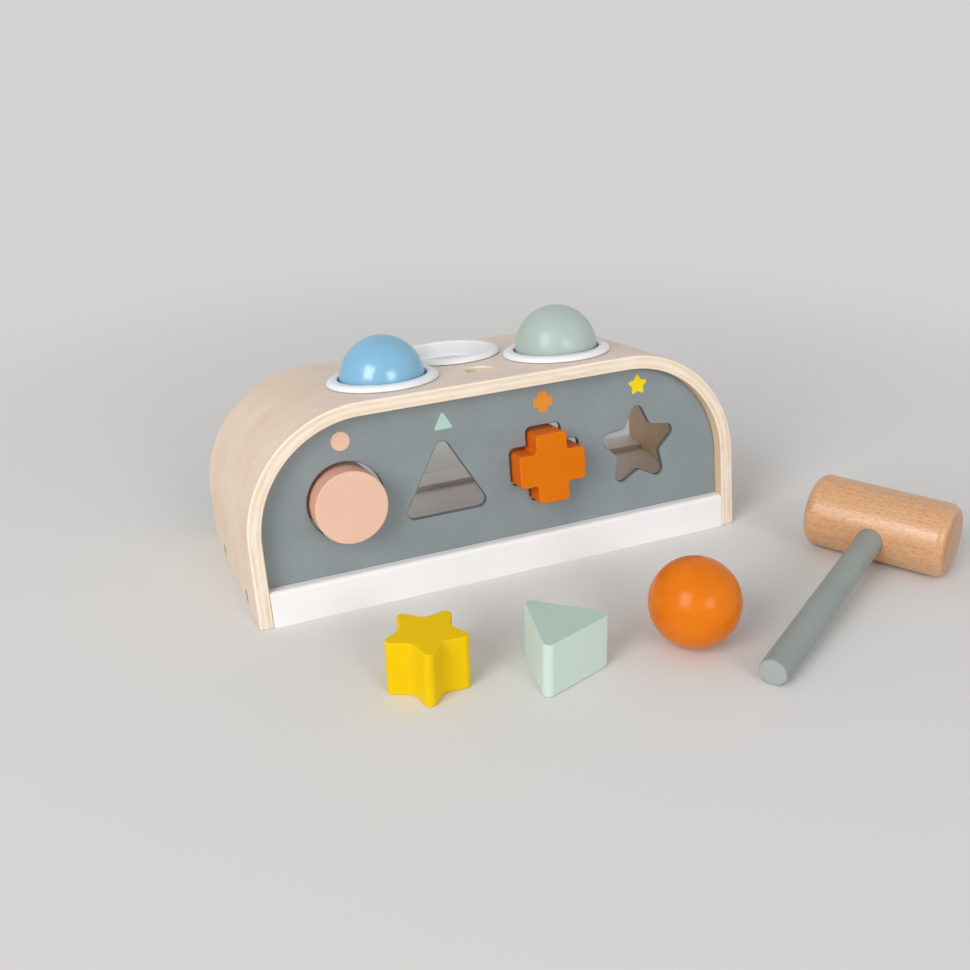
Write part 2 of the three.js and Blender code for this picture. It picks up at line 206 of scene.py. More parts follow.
def clouds(place, table):
    # uneven values round a half
    made = {}
    for name, (stretch, detail, roughness, distortion) in table.items():
        spot = stretched(place, stretch if isinstance(stretch, tuple) else (stretch,) * 3)
        inputs = {"Vector": spot, "Scale": 1, "Detail": detail, "Roughness": roughness}
        made[name] = addNode("TexNoise", inputs | {"Distortion": distortion}).outputs["Fac"]
    return made


def startLook(name, row, place="ownPlace"):
    # a new material, its look with its tones made ready, its noises and its shares
    made = newMaterial(name)[0]
    look = {key: tone(value) if isinstance(value, str) else value for key, value in row.items()}
    noises = clouds(mark(place, "Vector"), look["noises"])
    shares = {key: steps(noises[source], stops) for key, (source, *stops) in look["shares"].items()}
    return made, look, noises, shares


def finishLook(made, look, noises, shares, colour):
    inputs = {
        "Base Color": colour,
        "Roughness": shares["gloss"],
        "Normal": relief(noises, look["relief"]),
    }
    feed(made.node_tree.nodes["Principled BSDF"], inputs | look["sockets"])
    return made


def relief(noises, table):
    # each with its depth in millimetres and its strength, laid over the one before
    inputs = {}
    for name, (depth, strength) in table.items():
        inputs |= {"Height": noises[name], "Distance": depth * mm, "Strength": strength}
        inputs["Normal"] = addNode("Bump", inputs).outputs["Normal"]
    return inputs["Normal"]


# Sizes of the arch and helpers for the shapes

leanAngle = radians(8.4)
arch = {
    "width": 278,
    "depth": 108,  # square to the panel
    "height": 108,  # along the panel
    "cornerRadius": 64, "cornerSteps": 44,
    "spareLine": 3,  # below the bend
    "plyThickness": 7.4, "edgeRound": 0.9,
    "footRound": 2,  # outer edge of the feet
    "footFrontShare": 0.35,  # how much of it the front and back edges have
    "roundSteps": 5,
}
seatGap = 0.3
jointGap = 0.08  # between the painted pieces and the plywood
thick = arch["plyThickness"]
halfWidth = arch["width"] / 2
footDepth = arch["depth"] / cos(leanAngle)
levelPlace = Matrix.Translation(metres((0, -footDepth / 2, 0)))
leaningPlace = levelPlace @ Matrix.Rotation(-leanAngle, 4, "X")
sharpAngles = {"plain": 32, "collar": 40, "ball": 180}
normalWeight = 90
turnSteps = {  # sides of the turned shapes
    "collar": 128, "collarBore": 96, "hammerBore": 64, "hammerHead": 128, "handle": 64,
    "screw": 48, "screwBore": 32,
}


def leaningDepth(depth, height):
    # where the leaning plane at this depth stands at a height above the floor
    return (depth + height * sin(leanAngle)) / cos(leanAngle)


def moved(x=0, y=0, z=0):
    return Matrix.Translation(metres((x, y, z)))


def turned(angle, axis):
    return Matrix.Rotation(angle, 4, axis)


def onTop(x, y, rise=0):
    return leaningPlace @ moved(x, y, arch["height"] + rise)


def circle(centre, radius, start, end, count):
    spots = []
    for i in range(count + 1):
        angle = start + (end - start) * i / count
        spots.append(Vector((centre[0] + radius * cos(angle), centre[1] + radius * sin(angle))))
    return spots


def points(*spots):
    return [Vector(spot) for spot in spots]


def finishMesh(name, shape, place, flatFaces=(), sharp="plain"):
    flat = set(flatFaces)
    for face in shape.faces:
        face.smooth = face not in flat
    shape.normal_update()
    mesh = bpy.data.meshes.new(name)
    shape.to_mesh(mesh)
    shape.free()
    mesh.transform(Matrix.Scale(mm, 4))
    mesh.set_sharp_from_angle(angle=radians(sharpAngles[sharp]))
    made = addToScene(name, mesh)
    made.matrix_world = place
    return made


def evenShading(piece):
    shading = piece.modifiers.new("evenShading", "WEIGHTED_NORMAL")
    shading.keep_sharp = True
    shading.weight = normalWeight
    return piece


def cutAway(piece, cutter):
    # the cutter is used up, and the cut stays in the piece's own mesh
    change = piece.modifiers.new("cutAway", "BOOLEAN")
    change.operation = "DIFFERENCE"
    change.solver = "EXACT"
    change.object = cutter
    bpy.context.view_layer.update()
    ready = piece.evaluated_get(bpy.context.evaluated_depsgraph_get())
    mesh = bpy.data.meshes.new_from_object(ready)
    piece.modifiers.clear()
    old = piece.data
    piece.data = mesh
    mesh.name = piece.name
    bpy.data.meshes.remove(old)
    bpy.data.objects.remove(cutter)
    mesh.set_sharp_from_angle(angle=radians(sharpAngles["plain"]))


def insetLoop(loop, inset):
    # solid on the left hand of the loop: a positive inset moves into the solid
    spots = []
    for i, here in enumerate(loop):
        before = here - loop[i - 1]
        after = loop[(i + 1) % len(loop)] - here
        first = Vector((-before.y, before.x)).normalized()
        second = Vector((-after.y, after.x)).normalized()
        spots.append(here + (first + second) * (inset / (1 + first.dot(second))))
    return spots


def roundEdge(radius, count):
    # from the face (inset = radius) round to the side (inset = 0), as (depth, inset)
    angles = [i * pi / 2 / count for i in range(count + 1)]
    return [(radius - radius * cos(a), radius - radius * sin(a)) for a in angles]


def slabLevels(size, start=0):
    far = reversed(roundEdge(size["farRound"], size["roundSteps"]))
    levels = roundEdge(size["nearRound"], size["roundSteps"])
    levels += [(size["thickness"] - depth, inset) for depth, inset in far]
    return [(start + depth, inset) for depth, inset in levels]


facings = {
    "front": lambda u, v, w: (u, w, v),
    "up": lambda u, v, w: (u, v, w),
    "side": lambda u, v, w: (w, u, v),
}
wearAndHighlightShares = {  # how worn the paint of a board is where its outline turns tightly, with a painted highlight there; rounded edges have 1 and take the full painted highlight
    "roundedFrom": 0.02,  # inset
    "perTurn": 2.2,  # for each radian in a millimetre
    "most": 0.8,
    "shortest": 0.01,
}
paintedSideLightShares = {  # how much of the painted light and shade of the sides the rounded edges and the sides take
    "plain": (0, 0),
    "hole": (1, 1),
    "block": (0.25, 1),
}


def bridge(shape, near, far):
    # faces between two rings, where either may be a single point
    count = max(len(near), len(far))
    for i in range(count if count > 1 else 0):
        after = (i + 1) % count
        corners = near[:1] if len(near) == 1 else [near[i], near[after]]
        corners += far if len(far) == 1 else [far[after], far[i]]
        shape.faces.new(corners)


def addLoop(shape, loop, levels, spot, sawn):
    # the rings of one outline over all its levels, how worn and lit their edges are ("rub": worn paint
    # with a painted highlight) and how much painted light and shade the sides and hole walls take
    # ("sawn")
    rub = shape.verts.layers.float["rub"]
    cut = shape.verts.layers.float["sawn"]
    rings = []
    for depth, inset in levels:
        rings.append([shape.verts.new(spot(p.x, p.y, depth)) for p in insetLoop(loop, inset)])
    for number, ring in enumerate(rings[1:-1], 1):
        rounded = levels[number][1] > wearAndHighlightShares["roundedFrom"]
        for i, vertex in enumerate(ring):
            before = loop[i] - loop[i - 1]
            after = loop[(i + 1) % len(loop)] - loop[i]
            tight = before.angle(after) / max(before.length + after.length, wearAndHighlightShares["shortest"])
            vertex[rub] = 1 if rounded else min(tight * wearAndHighlightShares["perTurn"], wearAndHighlightShares["most"])
            vertex[cut] = paintedSideLightShares[sawn][0 if rounded else 1]
    for near, far in zip(rings, rings[1:]):
        bridge(shape, near, far)
    return rings


def capLoops(shape, rings, flat):
    spots = [[vertex.co for vertex in ring] for ring in rings]
    every = [vertex for ring in rings for vertex in ring]
    for corners in tessellate_polygon(spots):
        if len(set(corners)) == 3:
            flat.append(shape.faces.new([every[c] for c in corners]))


def slab(name, place, outline, levels, facing,
         holes=(), holeLevels=None, slant=None, sawn="plain"):
    # a board with rounded edges. Holes go right through, or are blind with levels of their own
    shape = bmesh.new()
    shape.verts.layers.float.new("rub")
    shape.verts.layers.float.new("sawn")
    spot = facings[facing]
    flat = []
    outer = addLoop(shape, outline, levels, spot, sawn)
    inner = [addLoop(shape, hole[::-1], holeLevels or levels, spot, "hole") for hole in holes]
    if slant:
        for ring in outer:
            for vertex in ring:
                slant(vertex.co)
    every = [outer] + inner
    capLoops(shape, [rings[0] for rings in every], flat)
    for group in [[rings] for rings in every] if holeLevels else [every]:
        capLoops(shape, [rings[-1] for rings in group], flat)
    bmesh.ops.recalc_face_normals(shape, faces=shape.faces)
    return evenShading(finishMesh(name, shape, place, flat))


def turnedShape(profile, kind):
    # (radius, height) pairs turned round z; a radius of 0 closes the shape
    shape = bmesh.new()
    rings = []
    for radius, height in profile:
        spots = circle((0, 0), radius, 0, 2 * pi, turnSteps[kind])[:-1] if radius else points((0, 0))
        rings.append([shape.verts.new((p.x, p.y, height)) for p in spots])
    for near, far in zip(rings, rings[1:] + rings[:1]):
        bridge(shape, near, far)
    bmesh.ops.recalc_face_normals(shape, faces=shape.faces)
    return shape


def cutTurned(piece, place, profile, kind):
    cutAway(piece, finishMesh("bore", turnedShape(profile, kind), place))


def settle(piece):
    # its own coordinates stay with the mesh as "ownPlace", and its place goes into the mesh
    mesh = piece.data
    own = mesh.attributes.new("ownPlace", "FLOAT_VECTOR", "POINT")
    own.data.foreach_set("vector", [c / mm for vertex in mesh.vertices for c in vertex.co])
    mesh.transform(piece.matrix_world)
    piece.matrix_world = Matrix.Identity(4)


endShares = {"from": 0.75, "reach": 0.2}


def markEnds(piece, way):
    # how squarely each point of a turned piece faces along it: for the head's darker end grain, in part
    # a painted shade, and for the painted light on the handle's end
    marks = piece.data.attributes.new("endFace", "FLOAT", "POINT")
    for vertex, end in zip(piece.data.vertices, marks.data):
        square = abs(vertex.normal.dot(Vector(way)))
        end.value = min(max((square - endShares["from"]) / endShares["reach"], 0), 1)


def fitPiece(piece, body, material, slot, *nodes):
    settle(piece)
    piece.data.materials.clear()
    piece.data.materials.append(materials[material])
    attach(piece, body)
    if nodes:
        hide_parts(*nodes)


# Materials
#
# Each noise has its stretch along x, y and z, detail, roughness and distortion. Each share has
# the name of its noise, and then a place and its level by turns. "ownPlace" holds each point's
# own coordinates in millimetres.

paintLook = {  # what the paints have in common
    "grain": (0.05, 0.5, 0.8),  # stretch of the grain: along x, as on a panel
    "grainNoise": (5, 0.62, 0.4), "fibreShare": 0.1, "rubShare": 0.2, "gloss": 0.42, "shine": 0.4,
    "fibreDepth": 0.02,
    "skin": 0.02,  # depth of the unevenness of the paint itself
    "skinStrength": 0.6,
    "noises": {
        "patch": (0.035, 3, 0.55, 0),
        "speck": (1.7, 2, 0.5, 0),
        "roller": (0.6, 3, 0.6, 0),
        "sheen": (0.09, 3, 0.55, 0),
    },
    "shares": {
        "patch": ("patch", 0.3, 0, 0.7, 1),
        "fibres": ("grain", 0.3, 1, 0.52, 0),
        "speck": ("speck", 0.36, 0.15, 0.6, 1),
    },
    "sheenStops": (0.3, -0.03, 0.7, 0.04),  # beyond the gloss
}
ballGrain = (0.25, 0.06, 0.25)
blockGrain = (0.5, 0.05, 0.5)
standingGrain = (0.5, 0.5, 0.05)
# In these looks, "rubbed" is worn paint together with a painted highlight along the rounded edges
paintLooks = {  # the tones are low, high and that of the fibres
    "greyPaint": {
        # sawn: painted shade on the walls of the holes, which lie in shade
        "tones": ("838D91", "8C9699", "7A8488"), "rubbed": "9BA4A7", "sawn": "596368",
        "grain": (0.3, 0.5, 0.4), "fibreShare": 0.14, "rubShare": 0.3, "gloss": 0.48, "skin": 0.03,
    },
    "whitePaint": {
        "tones": ("F2F0F0", "F6F4F4", "EEEBEA"), "rubbed": "F8F6F6", "fibreShare": 0.12,
    },
    "blueBallPaint": {
        "tones": ("79B1CF", "82BAD8", "6FA8C8"),
        "grain": ballGrain, "gloss": 0.2, "shine": 0.85, "fibreDepth": 0.008, "skin": 0.006,
    },
    "sageBallPaint": {
        "tones": ("A9B9B1", "B2C1BA", "9DAEA6"),
        "grain": ballGrain, "fibreShare": 0.04, "fibreDepth": 0.01, "gloss": 0.31, "shine": 0.5,
        "skin": 0.006,
    },
    "orangeBallPaint": {
        "tones": ("DE7106", "E57C08", "CC6304"),
        "grain": ballGrain, "fibreShare": 0.25, "fibreDepth": 0.015, "gloss": 0.22, "shine": 0.2,
        "skin": 0.008,
    },
    # the blocks' sawn tones are painted light and shade on their sides: rosier and darker on the pink
    # block, redder on the orange, lighter on the mint
    "pinkBlockPaint": {
        "tones": ("E6BDA5", "EAC3AC", "DCB199"), "rubbed": "F3D8C8", "sawn": "E5AC98",
        "grain": blockGrain, "rubShare": 0.12, "gloss": 0.5, "shine": 0.25,
    },
    "orangeBlockPaint": {
        "tones": ("DD7105", "E17908", "CB6403"), "rubbed": "EC9240", "sawn": "DE6905",
        "grain": blockGrain, "fibreShare": 0.2, "gloss": 0.46, "shine": 0.1, "fibreDepth": 0.03,
    },
    "mintBlockPaint": {
        "tones": ("B4CAC0", "BACFC5", "ACC2B7"), "rubbed": "DFE8E2", "sawn": "CCDED6",
        "grain": standingGrain, "rubShare": 0.4, "gloss": 0.46, "shine": 0.25,
    },
    "yellowBlockPaint": {
        "tones": ("EAC100", "EEC702", "E0B600"), "rubbed": "F6D634",
        "grain": standingGrain, "gloss": 0.44, "shine": 0.1,
    },
    "handlePaint": {
        # endFace: painted light, the end of the handle lighter as it faces the light
        "tones": ("8C9491", "959D99", "838B88"), "endFace": "A5ACAB",
        "grain": blockGrain, "fibreShare": 0.2, "fibreDepth": 0.04,
    },
}
printTones = {  # low and high, for the small printed shapes and the floors of the pockets
    "pinkPrint": ("E7BFA8", "EBC5AF"),
    "mintPrint": ("AECFC6", "B4D4CB"),
    "orangePrint": ("E08E30", "E59537"),
    "yellowPrint": ("EDD60E", "F2DC16"),
}
for name, (low, high) in printTones.items():
    paintLooks[name] = {
        "tones": (low, high, low),
        "fibreShare": 0.2, "gloss": 0.4, "shine": 0.2, "fibreDepth": 0.01, "skin": 0.01,
    }


def paintedWood(name, row):
    look = paintLook | row
    low, high, fibre = [tone(part) for part in look["tones"]]
    near, fall, far, rise = look["sheenStops"]
    gloss = ("sheen", near, look["gloss"] + fall, far, look["gloss"] + rise)
    look["noises"] = look["noises"] | {"grain": (look["grain"], *look["grainNoise"])}
    look["shares"] = look["shares"] | {"gloss": gloss}
    look["relief"] = {"roller": (look["skin"], look["skinStrength"]), "grain": (look["fibreDepth"], 1)}
    look["sockets"] = {"Specular IOR Level": look["shine"]}
    made, look, noises, shares = startLook(name, look)
    fibres = calc("MULTIPLY", shares["fibres"], look["fibreShare"])
    layers = [(shares["patch"], high), (fibres, fibre)]
    # worn paint at the edges together with a painted highlight, strongest on the rounded edges
    if "rubbed" in look:
        edgeWearAndHighlight = calc("MULTIPLY", mark("rub"), shares["speck"])
        layers.append((calc("MULTIPLY", edgeWearAndHighlight, look["rubShare"]), look["rubbed"]))
    # painted light and shade on the sides of the blocks and the walls of the panel's holes, and painted
    # light on the handle's end
    layers += [(mark(place), look[place]) for place in ("sawn", "endFace") if place in look]
    return finishLook(made, look, noises, shares, layered(low, *layers))


birchLook = {
    "outer": "E6CFB7", "outerDark": "D8BC9C", "outerStreaks": 0.16, "outerPink": "EAD8CB",
    "pinkReach": (110, 62),  # from the middle of the strip: where the painted sheen on the top begins, and is full
    "pinkMost": 0.85, "inner": "EBD0B0", "innerDark": "DDBA94", "innerStreaks": 0.5,
    "innerStops": (0.49, 0, 0.51, 1),  # how far through the strip
    "fleck": "AD8560",
    "pale": "F4E9DA",  # of the plies at the edges
    "tan": "EDD6BA", "glue": "DDBF9A", "edgeStops": (0.02, 0, 0.05, 1, 0.95, 1, 0.98, 0),
    "edgeWave": 0.5,
    "relief": {"edgeGrain": (0.05, 0.6), "flecks": (0.04, 0.6), "streaks": (0.06, 0.6)},
    "sockets": {"Coat Weight": 0.2, "Coat Roughness": 0.32},
    "noises": {  # along the strip, across it and down into it
        "streaks": ((0.02, 0.7, 0.2), 6, 0.62, 0.6),
        "figure": ((0.012, 0.03, 0.2), 3, 0.5, 0.8),
        "pink": ((0.02, 0.025, 0.2), 2, 0.5, 0.3),
        "curl": ((0.07, 0.11, 0.2), 3, 0.55, 1.6),
        "flecks": ((0.24, 1.9, 0.4), 2, 0.5, 0.2),
        "ripple": ((0.03, 0.03, 0.3), 2, 0.5, 0),
        "edgeGrain": ((0.06, 0.6, 2.4), 5, 0.65, 0.3),
        "edgePatch": ((0.045, 0.1, 0.35), 3, 0.6, 0.5),
    },
    "shares": {
        "streaks": ("streaks", 0.3, 1, 0.58, 0),
        "figure": ("figure", 0.3, 0.55, 0.66, 0),
        "pink": ("pink", 0.4, 0, 0.7, 0.6),
        "curl": ("curl", 0.32, 0.34, 0.52, 0),
        "flecks": ("flecks", 0.26, 0.5, 0.33, 0),
        "tanGrain": ("edgeGrain", 0.36, 0.6, 0.6, 0),
        "paleGrain": ("edgeGrain", 0.55, 0, 0.72, 0.7),
        "gluePatch": ("edgePatch", 0.3, 0.6, 0.42, 0),
        "palePatch": ("edgePatch", 0.5, 0, 0.64, 0.7),
        "gloss": ("streaks", 0.3, 0.5, 0.7, 0.42),
    },
}
birchPlies = (  # how far through the strip, and the tone there
    0.17, "pale", 0.2, "glue", 0.23, "tan", 0.36, "tan", 0.41, "pale",
    0.6, "pale", 0.64, "tan", 0.77, "tan", 0.8, "glue", 0.83, "pale",
)
noiseMiddle = 0.5  # of any noise


def birchPlywood():
    # "plyPlace" holds the place along the strip, across it and down into it
    made, look, noises, shares = startLook("birchPlywood", birchLook, "plyPlace")
    parts = addNode("SeparateXYZ", {"Vector": mark("plyPlace", "Vector")}).outputs
    # painted sheen: the top of the arch paler and pinker, as it catches the light; the pink noise is
    # the wood's own
    middle = smoothShare(calc("ABSOLUTE", parts["X"]), *look["pinkReach"])
    pink = calc("MAXIMUM", shares["pink"], calc("MULTIPLY", middle, look["pinkMost"]))
    outside = layered(
        look["outer"],
        (shares["figure"], look["outerDark"]),
        (pink, look["outerPink"]),
        (shares["curl"], look["outerDark"]),
        (calc("MULTIPLY", shares["streaks"], look["outerStreaks"]), look["outerDark"]),
    )
    within = layered(
        look["inner"],
        (shares["figure"], look["innerDark"]),
        (calc("MULTIPLY", shares["streaks"], look["innerStreaks"]), look["innerDark"]),
    )
    through = calc("DIVIDE", parts["Z"], thick)
    inside = steps(through, look["innerStops"])
    face = layered(outside, (inside, within), (shares["flecks"], look["fleck"]))
    wave = calc("MULTIPLY", calc("SUBTRACT", noises["ripple"], noiseMiddle), look["edgeWave"])
    through = calc("DIVIDE", calc("ADD", parts["Z"], wave), thick)
    plies = layered(
        steps(through, [look.get(part, part) for part in birchPlies]),
        (shares["tanGrain"], look["tan"]),
        (shares["paleGrain"], look["pale"]),
        (shares["gluePatch"], look["glue"]),
        (shares["palePatch"], look["pale"]),
    )
    edge = steps(through, look["edgeStops"])
    return finishLook(made, look, noises, shares, layered(face, (edge, plies)))


beechLook = {
    "pale": "DDAE80", "warm": "CB9160", "fleck": "9C5F35", "end": "C28650",
    "ringCentre": (0, 46, 31),  # of the growth rings, square to the head
    "ringStretch": (0.06, 1, 1), "ringWidth": 3.4, "ringDrift": 5,
    "ringStops": (0, 0.5, 0.12, 0.1, 0.8, 0.3, 1, 0.6),
    "relief": {"flecks": (0.06, 0.5), "streaks": (0.06, 0.6)},
    "sockets": {"Coat Weight": 0.6, "Coat Roughness": 0.24},
    "noises": {
        "drift": ((0.012, 0.07, 0.07), 3, 0.5, 0.3),
        "streaks": ((0.03, 0.9, 0.9), 6, 0.6, 0.3),
        "flecks": ((0.42, 3.2, 3.2), 2, 0.6, 0.5),
        "dots": (2.6, 2, 0.5, 0),
    },
    "shares": {
        "streaks": ("streaks", 0.3, 0.5, 0.62, 0),
        "flecks": ("flecks", 0.35, 0.66, 0.47, 0),
        "dots": ("dots", 0.32, 0.5, 0.42, 0),
        "gloss": ("streaks", 0.3, 0.46, 0.7, 0.33),
    },
}


def beechWood():
    made, look, noises, shares = startLook("beechWood", beechLook)
    centre = [-c for c in look["ringCentre"]]
    away = distance(stretched(mark("ownPlace", "Vector"), look["ringStretch"], centre))
    drift = calc("MULTIPLY", noises["drift"], look["ringDrift"])
    rings = calc("ADD", calc("DIVIDE", away, look["ringWidth"]), drift)
    rings = steps(calc("FRACT", rings), look["ringStops"])
    along = layered(
        look["pale"],
        (rings, look["warm"]),
        (shares["streaks"], look["warm"]),
        (shares["flecks"], look["fleck"]),
    )
    # the end faces: end grain with its rings and pores, darker than the sides, in part a painted shade
    across = layered(look["end"], (rings, look["fleck"]), (shares["dots"], look["fleck"]))
    return finishLook(made, look, noises, shares, layered(along, (mark("endFace"), across)))


plainLooks = {
    "whitePlastic": {
        "low": "EEEEF1", "high": "F3F3F6",
        "noises": {
            "patch": (0.05, 3, 0.5, 0),
            "sheen": (0.08, 3, 0.55, 0),
            "flow": ((0.09, 0.09, 0.045), 2, 0.5, 0),
        },
        "shares": {"gloss": ("sheen", 0.35, 0.2, 0.7, 0.26)},
        "relief": {"flow": (0.05, 0.5)},
        "sockets": {},
    },
    "screwSteel": {
        "low": "A3A7A9", "high": "D3D6D8",
        "noises": {"patch": ((6, 1, 6), 4, 0.6, 0.6)},
        "shares": {"gloss": ("patch", 0.3, 0.32, 0.7, 0.5)},
        "relief": {"patch": (0.03, 0.5)},
        "sockets": {"Metallic": 1},
    },
}


def plainMaterial(name, row):
    made, look, noises, shares = startLook(name, row)
    return finishLook(made, look, noises, shares, layered(look["low"], (noises["patch"], look["high"])))


materials = {name: paintedWood(name, row) for name, row in paintLooks.items()}
materials |= {name: plainMaterial(name, row) for name, row in plainLooks.items()}
materials |= {"birchPlywood": birchPlywood(), "beechWood": beechWood()}
print("stage: materials,", len(materials))

# The four shapes, round their middle with one point upward

shapeHoles = {
    "round": {"x": -85.6, "z": 57, "radius": 20.25},
    "triangle": {"x": -32, "z": 53.7, "cornerReach": 20.7, "cornerRadius": 4},
    "cross": {"x": 25.4, "z": 57.1, "span": 40.7, "armWidth": 20.4, "tipRadius": 3, "innerRadius": 1},
    "star": {
        "x": 82.4, "z": 55.7, "tipReach": 18.9, "tipRadius": 3.6, "notchRadius": 13.3, "notchEase": 2,
    },
}
shapeColours = {"round": "pink", "triangle": "mint", "cross": "orange", "star": "yellow"}
shapeSteps = {"round": 96, "tip": 10, "inner": 4, "notch": 4}


def roundOutline(size, inset=0):
    return circle((0, 0), size["radius"] - inset, 0, 2 * pi, shapeSteps["round"])[:-1]


def triangleOutline(size, inset=0):
    reach, radius = size["cornerReach"], size["cornerRadius"] - inset
    spots = []
    for corner in range(3):
        angle = pi / 2 + corner * 2 * pi / 3
        centre = (reach * cos(angle), reach * sin(angle))
        spots += circle(centre, radius, angle - pi / 3, angle + pi / 3, shapeSteps["tip"])
    return spots


def crossOutline(size, inset=0):
    reach = size["span"] / 2 - inset
    half = size["armWidth"] / 2 - inset
    tip = size["tipRadius"] - inset / 2
    inner = size["innerRadius"] + inset / 2
    arm = circle((reach - tip, tip - half), tip, -pi / 2, 0, shapeSteps["tip"])
    arm += circle((reach - tip, half - tip), tip, 0, pi / 2, shapeSteps["tip"])
    arm += circle((half + inner, half + inner), inner, -pi / 2, -pi, shapeSteps["inner"])
    turns = [Matrix.Rotation(number * pi / 2, 2) for number in range(4)]
    return [turn @ spot for turn in turns for spot in arm]


def eased(before, corner, after, reach):
    # a short curve in place of a corner
    first = corner + (before - corner).normalized() * reach
    second = corner + (after - corner).normalized() * reach
    shares = [i / shapeSteps["notch"] for i in range(shapeSteps["notch"] + 1)]
    return [first.lerp(corner, t).lerp(corner.lerp(second, t), t) for t in shares]


def starOutline(size, inset=0):
    halfStep = pi / 5
    notchWay = Vector((cos(halfStep), sin(halfStep)))
    run = notchWay * size["notchRadius"] - Vector((size["tipReach"], 0))
    sideAngle = atan2(run.y, run.x) - asin(sqrt(1 - (size["tipRadius"] / run.length) ** 2))
    normal = Vector((cos(sideAngle), sin(sideAngle)))
    tipRadius = size["tipRadius"] - inset
    notchReach = (normal.x * size["tipReach"] + tipRadius) / normal.dot(notchWay)
    tips, notches = [], []
    for tip in range(5):
        angle = pi / 2 + tip * 2 * halfStep
        centre = (size["tipReach"] * cos(angle), size["tipReach"] * sin(angle))
        tips.append(circle(centre, tipRadius, angle - sideAngle, angle + sideAngle, shapeSteps["tip"]))
        notches.append(Vector((cos(angle + halfStep), sin(angle + halfStep))) * notchReach)
    spots = []
    for tip, notch, following in zip(tips, notches, tips[1:] + tips[:1]):
        spots += tip + eased(tip[-1], notch, following[0], size["notchEase"])
    return spots


outlines = {
    "round": roundOutline, "triangle": triangleOutline, "cross": crossOutline, "star": starOutline,
}


def shifted(loop, x, y):
    return [p + Vector((x, y)) for p in loop]


# The arch: one strip of plywood bent over both corners

collar = {
    "offset": 50.7, "fromFront": 38.5, "middleFromFront": 76.1, "flangeRadius": 29.7,
    "flangeHeight": 3.2,
    "rimRound": (3.4, 2.6),  # wide and high: the flange is crowned
    "rimSteps": 10, "mouthRound": (0.9, 0.9), "smallRound": 0.3, "smallSteps": 3,
    "sleeveRadius": 26,
    "boreSpare": 4,  # how far the cutter of its bore stands out
    "mouthRadius": 23.75, "throatRadius": 23.2,
    "throatShares": (0.55, 0.68),  # of the way down to the lip, where mouth and throat meet
    "lipRadius": 21, "lipThickness": 1.2, "lipRound": (1.1, 1), "lipSteps": 6, "lipEdge": 0.1,
    "drop": 10.4,  # lower end, below the top of the arch
    "lipDrops": {"left": 7.2, "right": 5, "middle": 5},  # the blue ball has pressed its lip down
}
hammerHole = {"radius": 7.8, "fromFront": 28, "rimRound": 0.7, "rimSteps": 6, "boreSpare": 3}
screw = {
    "length": 24, "shankRadius": 1.6, "headRadius": 3.3, "headDepth": 2.3,
    "headRim": ((-0.15, -0.25), (0, -0.1), (-0.12, 0)),  # beyond the radius, and height
    "tip": 3,
    "tipEnd": (0.35, 0.8),  # share of the shank's radius, and height
    "sunk": 0.3, "height": 5.5, "fromFront": 28, "fromBack": 26, "boreSpare": 3, "boreStep": 0.05,
    "crossWidth": 0.75, "crossReach": 2.1,
    "crossLevels": ((-1.2, 0.32), (-0.1, 0), (1, 0)),  # height and inset
    "crossTurn": 0.35,  # radians
    "threadStep": 1.3, "threadDepth": 0.35,
}
screwSpots = {
    "screw_" + row + "_" + side: (way, y)
    for row, y in (("front", screw["fromFront"]), ("rear", footDepth - screw["fromBack"]))
    for side, way in (("left", -1), ("right", 1))
}
collarSpots = {
    "left": (-collar["offset"], collar["fromFront"]),
    "right": (collar["offset"], collar["fromFront"]),
    "middle": (0, collar["middleFromFront"]),
}


def archStations():
    # base points on the outside of the strip and the way outward, from foot to foot
    half, radius, count = halfWidth, arch["cornerRadius"], arch["cornerSteps"]
    level = arch["height"] - radius
    spare = level - arch["spareLine"]
    spots = [((-half, 0), (-1, 0)), ((-half, spare), (-1, 0))]
    for side, start in ((-1, pi), (1, pi / 2)):
        for i in range(count + 1):
            angle = start - i * pi / 2 / count
            way = (cos(angle), sin(angle))
            centre = side * (half - radius)
            spots.append(((centre + radius * way[0], level + radius * way[1]), way))
    return spots + [((half, spare), (1, 0)), ((half, 0), (1, 0))]


def stripSection():
    # (across, down): a rounded rectangle with a spare line beside each rounding
    depth, r = arch["depth"], arch["edgeRound"]
    section = []
    far, low = depth - r, thick - r
    for centre, start in (((r, r), pi), ((far, r), 1.5 * pi), ((far, low), 0), ((r, low), pi / 2)):
        section += circle(centre, r, start, start + pi / 2, arch["roundSteps"])
    return section


def footRings(shape, section, side):
    # the feet are cut level with the floor, and their section shrinks a little round their edges
    depth = arch["depth"]
    rings = []
    for rise, inset in roundEdge(arch["footRound"], arch["roundSteps"]):
        near = inset * arch["footFrontShare"]
        ring = []
        for across, down in section:
            across = near + across * (1 - 2 * near / depth)
            x = side * (halfWidth - inset - down * (1 - inset / thick))
            ring.append(shape.verts.new((x, across, across * tan(leanAngle) + rise)))
        rings.append(ring)
    return rings


def plyPlace(spot):
    # (along, across, down) of a point of the strip
    radius = arch["cornerRadius"]
    flatReach, level = halfWidth - radius, arch["height"] - radius
    sideways, upward = max(abs(spot.x) - flatReach, 0), max(spot.z - level, 0)
    down = radius - hypot(sideways, upward)
    along = min(abs(spot.x), flatReach) + radius * atan2(sideways, upward) + max(level - spot.z, 0)
    return (along if spot.x > 0 else -along, spot.y, down)


def cutCollarBores(piece):
    spare, radius = collar["boreSpare"], collar["sleeveRadius"] + seatGap
    low = -thick - spare
    for x, y in collarSpots.values():
        profile = [(0, low), (radius, low), (radius, spare), (0, spare)]
        cutTurned(piece, onTop(x, y), profile, "collarBore")


